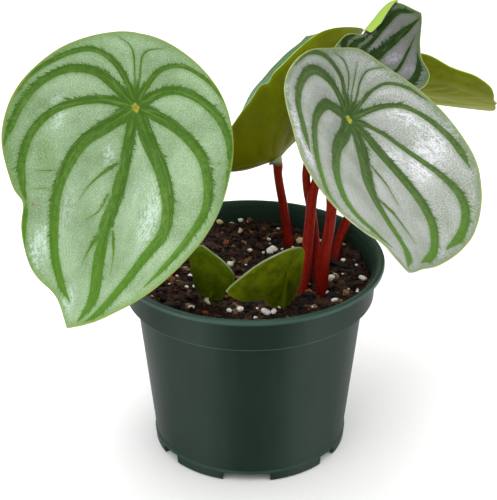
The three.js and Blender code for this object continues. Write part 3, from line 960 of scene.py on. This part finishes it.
def folded_edge(name, ring, bearing):
    """Each corner's share of the reach and of the flap, and in mm how far the fold's bend stands out, how
    far the flap runs back and how high it lies."""
    fold = flap_width(name, bearing)
    body = np.where(fold > 0, 1 - FLAP_SHARE, 1.0)
    share = np.minimum(ring / body, 1)
    past = np.clip((ring - body) / FLAP_SHARE, 0, 1) * (fold > 0)
    turned = np.minimum(past / FLAP_BEND, 1) * math.pi
    back = np.clip((past - FLAP_BEND) / (1 - FLAP_BEND), 0, 1) * fold
    out = CURL * np.sin(turned) * (past > 0)
    high = CURL * (1 - np.cos(turned)) * (past > 0) + 0.08 * back
    return share, past, out, back, high


# %% Blade maker
BIG_REACH = 80
DIMPLE = 1.3
RIPPLE = 2.2


def rippled(name, bearing):
    """An uneven wave round the leaf, between -1 and 1, that differs with the length of the name."""
    places = [(RIPPLE * math.cos(turn), RIPPLE * math.sin(turn), len(name)) for turn in np.radians(bearing)]
    return np.array([noise.noise(Vector(place)) for place in places])


def give_flesh(blade, thick, weights):
    """Closes the seams of the bent grid and thickens it, in mm times each corner's weight."""
    thin = blade.vertex_groups.new(name="flesh")
    for index, weight in enumerate(weights):
        thin.add([index], float(weight), "REPLACE")
    only(blade)
    bpy.ops.object.mode_set(mode="EDIT")
    bpy.ops.mesh.select_all(action="SELECT")
    bpy.ops.mesh.remove_doubles(threshold=0.00001)
    bpy.ops.object.mode_set(mode="OBJECT")
    flesh = blade.modifiers.new("flesh", "SOLIDIFY")
    flesh.thickness = thick * MM
    flesh.offset = 0
    flesh.vertex_group = "flesh"
    flesh.material_offset = 1
    flesh.material_offset_rim = 2
    settle(blade)
    shade(blade, 60)


def make_blade(name, steps, rings, thick, finishes):
    leaf = LEAVES[name]
    young = name.startswith("young")
    clear()
    bpy.ops.mesh.primitive_grid_add(x_subdivisions=steps, y_subdivisions=rings, size=2)
    blade = newest(f"leaf_{name}")
    for material in finishes:
        blade.data.materials.append(material)
    rows = corners(blade)
    ring = (rows[:, 1] + 1) / 2
    bearing = -180 * np.sign(rows[:, 0]) * np.abs(rows[:, 0]) ** 1.3
    reach = edge_reach(leaf, bearing)
    share, past, out, back, high = folded_edge(name, ring, bearing)
    radius = share * reach + out - back
    u = radius * np.cos(np.radians(bearing))
    v = radius * np.sin(np.radians(bearing))
    outside, along, across, half, lead = read_stripes(name, u, v)
    size = reach.max() / BIG_REACH
    puff = 0.8 * size * (1 - np.exp(-((np.maximum(outside, 0) / 2.6) ** 2)))
    dimple = -DIMPLE * size * np.exp(-((radius / (5 * size)) ** 2))
    flutter = 1.1 * size * rippled(name, bearing) * share**5
    lift = (puff + dimple) * (past == 0) * (1 - share**8) + flutter + high
    move_corners(blade, [at(*point) for point in leaf_place(leaf, u, v, lift)])
    marks = {
        "plan": np.stack([u, v, np.zeros_like(u)], axis=1), "outside": outside, "along": along,
        "across": across, "half": half, "lead": lead, "flap": past, "painted_light": read_painted_light(name, u, v),
        "edge": np.where(past > 0, 0, reach * (1 - share)),
    }
    for title, values in marks.items():
        mark(blade, title, values)
    give_flesh(blade, thick, 1 - (0.1 if young else 0.5) * share**6)
    belongs(blade, "young_blade" if young else "blade", f"blade_{name}")
    print(blade.name, len(blade.data.polygons), "faces")
    return blade


# %% [markdown]
# ## Finishes of a leaf
# The upper face is silver between dark green stripes whose borders are feathered, because the green follows
# tiny side veins. The material reads how far each point is outside a stripe and how far along it, and frays
# the border with noise that is stretched across the stripe. A green band, a thin yellow edge and an amber
# dot at the navel finish it. The underside is yellow-green with the veins showing faintly through, and
# painted light makes it lighter and yellower low down. The young leaves are blotched with a fresher green.
# Where the top leaf's edge is folded back, its underside gets a painted highlight. The marks on a blade are
# in mm of the leaf's plan, but for the painted light and the flap, which are shares.

# %% What an upper face reads
SIDE_SHIFT = 23.0


class UpperFace(Finish):
    """The finish of an upper face, with the marks of the blade and the grains that its colours share."""

    def __init__(self, name, gloss):
        super().__init__(name, 0.4, gloss)
        self.outside = self.attribute("outside")
        self.along = self.attribute("along")
        self.across = self.attribute("across")
        self.half = self.attribute("half")
        self.edge = self.attribute("edge")
        self.painted_light = self.attribute("painted_light")
        self.plan = self.attribute("plan", "Vector")
        self.core = self.distance(0, 0)
        self.speck = self.grain(self.plan, 2.0, 2.0, 0.8)
        self.mottle = self.grain(self.plan, 0.5, 4.0, 0.7)
        squeezed = self.math("MULTIPLY", self.along, 0.14)
        drawn_out = self.join(squeezed, self.math("MULTIPLY", self.across, 1.1))
        self.brushed = self.grain(drawn_out, 1.0, 4.0, 0.65)

    def distance(self, u, v):
        """Distance from a place in the leaf's plan."""
        node = self.tree.nodes.new("ShaderNodeVectorMath")
        node.operation = "DISTANCE"
        self.put(node.inputs[0], self.plan)
        node.inputs[1].default_value = (u, v, 0.0)
        return node.outputs["Value"]


# %% Frayed stripes
def off_the_middle(leaf):
    """Distance from a stripe's middle, made large where two stripes lie equally near."""
    apart = leaf.math("SUBTRACT", leaf.attribute("lead"), leaf.ramp(leaf.core, 5.0, 12.0, 0.0, 1.2))
    return leaf.math("ADD", leaf.math("ABSOLUTE", leaf.across), leaf.ramp(apart, 0.25, 0.9, 4.0, 0.0))


def frayed_stripes(leaf, off):
    """Distance outside the frayed border, and the share of green."""
    side = leaf.math("MULTIPLY", leaf.math("SIGN", leaf.across), SIDE_SHIFT)
    outer = leaf.ramp(leaf.across, -0.5, 0.5)
    lean = leaf.plus(leaf.along, leaf.outside, -0.7)
    less = leaf.ramp(outer, 0.0, 1.0, 0.7, 1.0)
    room = leaf.math("MULTIPLY", leaf.ramp(leaf.half, 0.2, 1.4, 0.15, 1.0), less)
    tooth = leaf.ramp(leaf.grain(leaf.join(lean, side), 0.55, 1.0, 0.5), 0.55, 0.78, 0.0, 1.1)
    hair = leaf.ramp(leaf.grain(leaf.join(lean, side, 5.0), 2.2, 2.0, 0.65), 0.4, 0.68, -0.35, 1.0)
    fringe = leaf.math("MULTIPLY", leaf.math("ADD", tooth, hair), room)
    star = leaf.ramp(leaf.core, 12.0, 3.0, 0.0, 1.5)
    border = leaf.math("SUBTRACT", leaf.outside, leaf.math("ADD", fringe, star))
    soft = leaf.ramp(outer, 0.0, 1.0, -1.3, -0.4)
    line = leaf.math("SUBTRACT", off, leaf.half)
    return border, leaf.math("MAXIMUM", leaf.ramp(border, 0.3, soft), leaf.ramp(line, 0.2, -0.1))


# %% Colours of the upper face
VIVID_GREEN = seen(76, 122, 20)
RAY_GREEN = seen(128, 160, 50)
NAVEL_GREEN = seen(150, 176, 54)
NAVEL_AMBER = seen(176, 112, 36)
SPOT_BROWN = seen(140, 112, 52)
RIM_YELLOW = seen(134, 152, 66)


def silver_ground(leaf, border, silver, dull, shine, band):
    """Cloudy, specked silver with painted highlight and painted shade in its patches, green beside a stripe
    and along the edge.
    """
    wide = leaf.grain(leaf.plan, 0.06, 3.0)
    sparkle = leaf.ramp(leaf.math("ADD", leaf.brushed, leaf.mottle), 0.8, 1.2, 0.2, 1.15)
    margin = leaf.plus(leaf.edge, leaf.math("SUBTRACT", leaf.mottle, 0.5), 7.0)
    return leaf.coats(
        silver,
        (dull, wide, 0.35, 0.68),
        (dull, leaf.mottle, 0.42, 0.7, 0.0, 0.45),
        # Painted highlight where the patches of painted light are above nought, painted shade in the band's
        # green below nought.
        (shine, leaf.math("MULTIPLY", leaf.painted_light, sparkle), 0.0, 0.9, 0.0, 0.9),
        (band, leaf.painted_light, 0.0, -1.0, 0.0, 0.85),
        (shine, leaf.speck, 0.5, 0.66, 0.0, 0.45),
        (band, leaf.speck, 0.5, 0.36, 0.0, 0.5),
        (band, border, 1.5, 0.1, 0.0, 0.4),
        (band, margin, 3.5, 0.2, 0.0, 0.7),
    )


def stripe_green(leaf, off, dark, deep, band, ray, vivid):
    """Green of a stripe, deeper on its outer side and near the navel, with a pale ray along its middle."""
    green = leaf.coats(
        deep,
        (dark, leaf.mottle, 0.35, 0.65, 0.25, 1.0),
        (deep, leaf.across, -0.6, 1.4, 0.0, 0.75),
        (deep, leaf.core, 40.0, 6.0, 0.0, 0.8),
        (band, leaf.speck, 0.48, 0.8, 0.0, 0.3),
        (band, leaf.brushed, 0.47, 0.68, 0.0, 0.5),
        (VIVID_GREEN, leaf.core, 38.0, 66.0, 0.0, vivid),
    )
    rays = leaf.math("MULTIPLY", leaf.ramp(off, 0.42, 0.1), leaf.ramp(leaf.core, 20.0, 2.0, 0.05, 1.0))
    return leaf.mix(leaf.math("MULTIPLY", rays, ray), green, RAY_GREEN)


def navel_and_rim(leaf, face, spots):
    """The ragged green navel with its amber dot, a few brown spots and the thin yellow rim."""
    ragged = leaf.plus(leaf.core, leaf.math("SUBTRACT", leaf.mottle, 0.5), 5.0)
    return leaf.coats(
        face,
        (NAVEL_GREEN, ragged, 2.1, 1.0),
        (NAVEL_AMBER, leaf.core, 1.2, 0.6, 0.0, 0.9),
        *((SPOT_BROWN, leaf.distance(*spot), 0.8, 0.35, 0.0, 0.8) for spot in spots),
        (RIM_YELLOW, leaf.edge, 0.6, 0.15, 0.0, 0.8),
    )


# %% Upper face
def upper_finish(name, *colours, ray=0.55, vivid=0.5, gloss=0.2, spots=()):
    """Six colours: silver, dull silver, shining silver, dark green, deep green and the band by a stripe."""
    silver, dull, shine, dark, deep, band = (seen(*colour) for colour in colours)
    leaf = UpperFace(name, gloss)
    off = off_the_middle(leaf)
    border, stripe = frayed_stripes(leaf, off)
    ground = silver_ground(leaf, border, silver, dull, shine, band)
    face = leaf.mix(stripe, ground, stripe_green(leaf, off, dark, deep, band, ray, vivid))
    leaf.colour(navel_and_rim(leaf, face, spots))
    satin = leaf.plus(leaf.ramp(leaf.painted_light, 0.0, 1.0, 0.42, 0.34), leaf.speck, 0.08)
    leaf.rough(leaf.plus(satin, stripe, 0.25))
    leaf.relief(leaf.plus(leaf.plus(leaf.mottle, leaf.brushed, 0.6), leaf.speck, 0.5), 0.35, 0.7)
    return leaf.material


SILVER_GREEN = upper_finish(
    "silver_green_face", (153, 179, 140), (120, 146, 104), (196, 217, 202), (86, 126, 42), (54, 92, 12),
    (106, 140, 70), spots=((38, -6), (53, -20), (43, -32)),
)
SILVER_LILAC = upper_finish(
    "silver_lilac_face", (155, 159, 154), (132, 138, 126), (212, 213, 218), (76, 104, 42), (44, 68, 20),
    (92, 112, 68), ray=0.3,
)
SILVER_DEEP = upper_finish(
    "silver_deep_face", (106, 104, 106), (84, 86, 80), (140, 136, 148), (26, 48, 0), (18, 36, 0),
    (60, 82, 44), ray=0.0, vivid=0.0, gloss=0.06,
)
SILVER_TEAL = upper_finish(
    "silver_teal_face", (96, 128, 104), (74, 106, 78), (140, 168, 146), (44, 76, 18), (34, 62, 10),
    (70, 102, 54), ray=0.3,
)

# %% Underside and edge
# Painted light: between these heights in metres the underside is coloured lighter and yellower towards the
# bottom.
LOW_FROM = 0.135
LOW_FULL = 0.105


def under_finish(name, *colours, blotches=0.09, share=0.5, low_painted_light=0.8):
    """Five colours: olive, the blotches on it, the painted light low down, the veins and the painted
    highlight on the folded edge.
    """
    olive, bright, low, vein, lit = (seen(*colour) for colour in colours)
    leaf = Finish(name, 0.5, 0.05)
    plan = leaf.attribute("plan", "Vector")
    outside = leaf.attribute("outside")
    cloud = leaf.grain(plan, blotches, 4.0, 0.6)
    fine = leaf.grain(plan, 0.5, 4.0, 0.7)
    leaf.colour(leaf.coats(
        olive,
        (bright, cloud, 0.38, 0.62, 0.0, share),
        # Painted light: lighter and yellower towards the bottom.
        (low, leaf.level(), LOW_FROM, LOW_FULL, 0.0, low_painted_light),
        (vein, fine, 0.45, 0.75, 0.0, 0.2),
        (vein, outside, 0.8, -0.6, 0.0, 0.12),
        (vein, leaf.attribute("edge"), 1.2, 0.3, 0.0, 0.35),
        # Painted highlight on the underside of the top leaf's folded edge.
        (lit, leaf.attribute("flap"), 0.02, 0.5, 0.0, 0.9),
    ))
    leaf.relief(leaf.plus(leaf.ramp(outside, 1.0, -0.8), fine, 0.4), 0.12, 0.4)
    return leaf.material


def edge_finish(name, pale, green):
    rim = Finish(name, 0.45, 0.3)
    rim.colour(rim.coats(seen(*pale), (seen(*green), rim.grain(rim.place, 220.0, 4.0), 0.35, 0.65)))
    return rim.material


OLIVE_UNDER = under_finish(
    "olive_underside", (92, 101, 1), (112, 120, 3), (130, 134, 3), (126, 140, 20), (142, 172, 74),
)
FRESH_UNDER = under_finish(
    "fresh_underside", (60, 80, 0), (94, 114, 6), (80, 98, 3), (104, 118, 14), (120, 140, 40),
    blotches=0.13, share=0.9, low_painted_light=0.3,
)
MIXED_UNDER = under_finish(
    "mixed_underside", (64, 74, 0), (104, 116, 8), (80, 92, 3), (116, 128, 22), (120, 140, 40),
    blotches=0.13, share=0.9, low_painted_light=0.3,
)
LEAF_EDGE = edge_finish("leaf_edge", (148, 164, 70), (124, 140, 58))
PALE_EDGE = edge_finish("pale_leaf_edge", (170, 178, 136), (134, 142, 108))
BRIGHT_EDGE = edge_finish("bright_leaf_edge", (164, 186, 72), (134, 158, 44))
DARK_EDGE = edge_finish("dark_leaf_edge", (84, 98, 60), (66, 82, 40))
YOUNG_EDGE = edge_finish("young_leaf_edge", (140, 152, 118), (108, 124, 78))

# %% Make the leaves
# Steps round the navel, rings, thickness in mm, and the finishes of upper face, underside and edge.
LOOKS = {
    "left": (300, 90, 1.0, SILVER_GREEN, OLIVE_UNDER, LEAF_EDGE),
    "right": (300, 90, 1.0, SILVER_LILAC, OLIVE_UNDER, PALE_EDGE),
    "back_left": (220, 64, 1.0, SILVER_TEAL, OLIVE_UNDER, BRIGHT_EDGE),
    "top": (260, 60, 0.9, SILVER_DEEP, OLIVE_UNDER, DARK_EDGE),
    "back_right": (200, 54, 0.9, SILVER_TEAL, OLIVE_UNDER, BRIGHT_EDGE),
    "young_left": (130, 32, 0.8, SILVER_GREEN, FRESH_UNDER, YOUNG_EDGE),
    "young_centre": (130, 32, 0.8, SILVER_GREEN, MIXED_UNDER, YOUNG_EDGE),
    "young_hidden": (110, 26, 0.7, SILVER_GREEN, FRESH_UNDER, YOUNG_EDGE),
}
for name, (steps, rings, thick, *finishes) in LOOKS.items():
    make_blade(name, steps, rings, thick, finishes)

# %% [markdown]
# ## Stalks
# The stalks are juicy, round and deep red, and turn paler where they spread into the leaf. The two smallest
# leaves in front have green ones. A bezier curve with a round bevel is the natural way to draw a stalk: its
# points are close to the model's own, each with its radius, and the top widens where it meets the blade. The
# curve becomes a mesh, and each corner stores its share of the height for the colour to follow.

# %% Stalk maker
# Points in mm, how far under the navel the last bend lies, and the radius at the foot and at the top.
STEMS = {
    "left": (((-31.5, 0, 74), (-35, -1, 108), (-37, -6, 138)), 14, 2.0, 1.7),
    "right": (((27.9, -17.3, 74), (29.2, -15, 89.6), (31.4, -12, 110.1)), 12, 2.4, 1.8),
    "back_left": (((16.5, 23.9, 74), (14.0, 28.6, 89.6), (11.6, 32.4, 103)), 1.5, 2.0, 1.6),
    "top": (((20, -18.1, 74), (22.4, -7, 85.5), (23.9, 3.1, 96), (26, 13, 106.4)), 12, 2.6, 1.7),
    "back_right": (((34.6, 13.8, 74), (36.2, 18.7, 78), (39.8, 25.9, 83.8)), 12, 2.3, 1.6),
    "young_left": (((-14.9, -27.0, 74),), 1.0, 1.0, 0.6),
    "young_centre": (((12.7, -29.2, 73.7), (13.1, -29.2, 79.4), (13.6, -29.5, 84.9)), 0.5, 1.5, 0.5),
    "young_hidden": (((27, -8.9, 74), (25.4, 6.5, 93), (22.6, 17, 109)), 5, 2.2, 1.3),
}

# A stalk's end: its shift from the navel along x in mm, the dimple's share there, and how much the last two
# radii widen.
PLAIN_END = (0.0, 1.0, 1.0, 1.5)
OWN_ENDS = {"back_left": (-1.0, 0.9, 1.3, 2.2)}
GREEN_STEMS = ("young_left", "young_centre")
SUNK = 10.5


def stalk_path(name):
    """The stalk's knots from under the soil to the navel, and the radius at each, in mm."""
    through, tail, foot, top = STEMS[name]
    shift, sink, widen, spread = OWN_ENDS.get(name, PLAIN_END)
    leaf = LEAVES[name]
    tip, left, up = leaf_axes(leaf)
    dimple = DIMPLE * float(edge_reach(leaf, np.linspace(-180, 180, 73)).max()) / BIG_REACH
    end = leaf_place(leaf, [shift * tip[0]], [shift * left[0]], -(sink * dimple + 0.1))[0]
    second = np.array(through[1]) if len(through) > 1 else end
    lean = second - np.array(through[0])
    start = np.array(through[0]) - SUNK * lean / np.linalg.norm(lean)
    path = [start, *[np.array(point) for point in through], end - tail * up, end]
    radii = list(np.linspace(foot, top, len(path)))
    radii[1] *= 1.06
    radii[-2] *= widen
    radii[-1] *= spread
    return path, radii


def make_stalk(name):
    path, radii = stalk_path(name)
    clear()
    bpy.ops.curve.primitive_bezier_curve_add()
    stalk = newest(f"stalk_{name}")
    curve = stalk.data
    curve.dimensions = "3D"
    spline = curve.splines[0]
    spline.bezier_points.add(len(path) - len(spline.bezier_points))
    for knot, point, radius in zip(spline.bezier_points, path, radii):
        knot.co = at(*point)
        knot.handle_left_type = knot.handle_right_type = "AUTO"
        knot.radius = radius
    curve.bevel_depth = MM
    curve.bevel_resolution = 6
    curve.resolution_u = 12
    curve.use_fill_caps = True
    bpy.ops.object.convert(target="MESH")
    stalk = newest(f"stalk_{name}")
    settle(stalk)
    only(stalk)
    bpy.ops.object.mode_set(mode="EDIT")
    bpy.ops.mesh.select_all(action="SELECT")
    bpy.ops.mesh.remove_doubles(threshold=0.00001)
    bpy.ops.mesh.normals_make_consistent(inside=False)
    bpy.ops.object.mode_set(mode="OBJECT")
    height = corners(stalk)[:, 2] / MM
    mark(stalk, "share", (height - SOIL_Z) / (height.max() - SOIL_Z))
    shade(stalk, 60)
    belongs(stalk, "young_petiole" if name in GREEN_STEMS else "petiole", f"petiole_{name}")
    print(stalk.name, "length", round(sum(np.linalg.norm(b - a) for a, b in zip(path, path[1:]))), "mm")
    return stalk


def stalk_finish(name, *colours):
    """Four colours: deep, lit, high up and at the tip."""
    deep, lit, high, tip = (seen(*colour) for colour in colours)
    skin = Finish(name, 0.4, 0.06)
    share = skin.attribute("share")
    streak = skin.grain(skin.stretch(skin.place, 900.0, 900.0, 60.0), 1.0, 4.0, 0.65)
    blotch = skin.grain(skin.place, 160.0, 4.0, 0.6)
    skin.colour(skin.coats(
        deep,
        (lit, streak, 0.35, 0.7, 0.2, 0.8),
        (lit, blotch, 0.5, 0.8, 0.0, 0.3),
        (high, share, 0.3, 0.95, 0.0, 0.45),
        (tip, share, 0.88, 0.95, 0.0, 0.9),
        (seen(58, 10, 8), share, 0.12, 0.0, 0.0, 0.5),
    ))
    skin.relief(skin.math("ADD", streak, blotch), 0.15, 0.5)
    return skin.material


RED_STALK = stalk_finish("red_stalk", (102, 11, 4), (148, 30, 17), (134, 54, 16), (176, 196, 150))
GREEN_STALK = stalk_finish("green_stalk", (78, 90, 2), (90, 102, 6), (84, 96, 3), (82, 94, 3))

# %% Make the stalks
for name in STEMS:
    stalk = make_stalk(name)
    stalk.data.materials.append(GREEN_STALK if name in GREEN_STEMS else RED_STALK)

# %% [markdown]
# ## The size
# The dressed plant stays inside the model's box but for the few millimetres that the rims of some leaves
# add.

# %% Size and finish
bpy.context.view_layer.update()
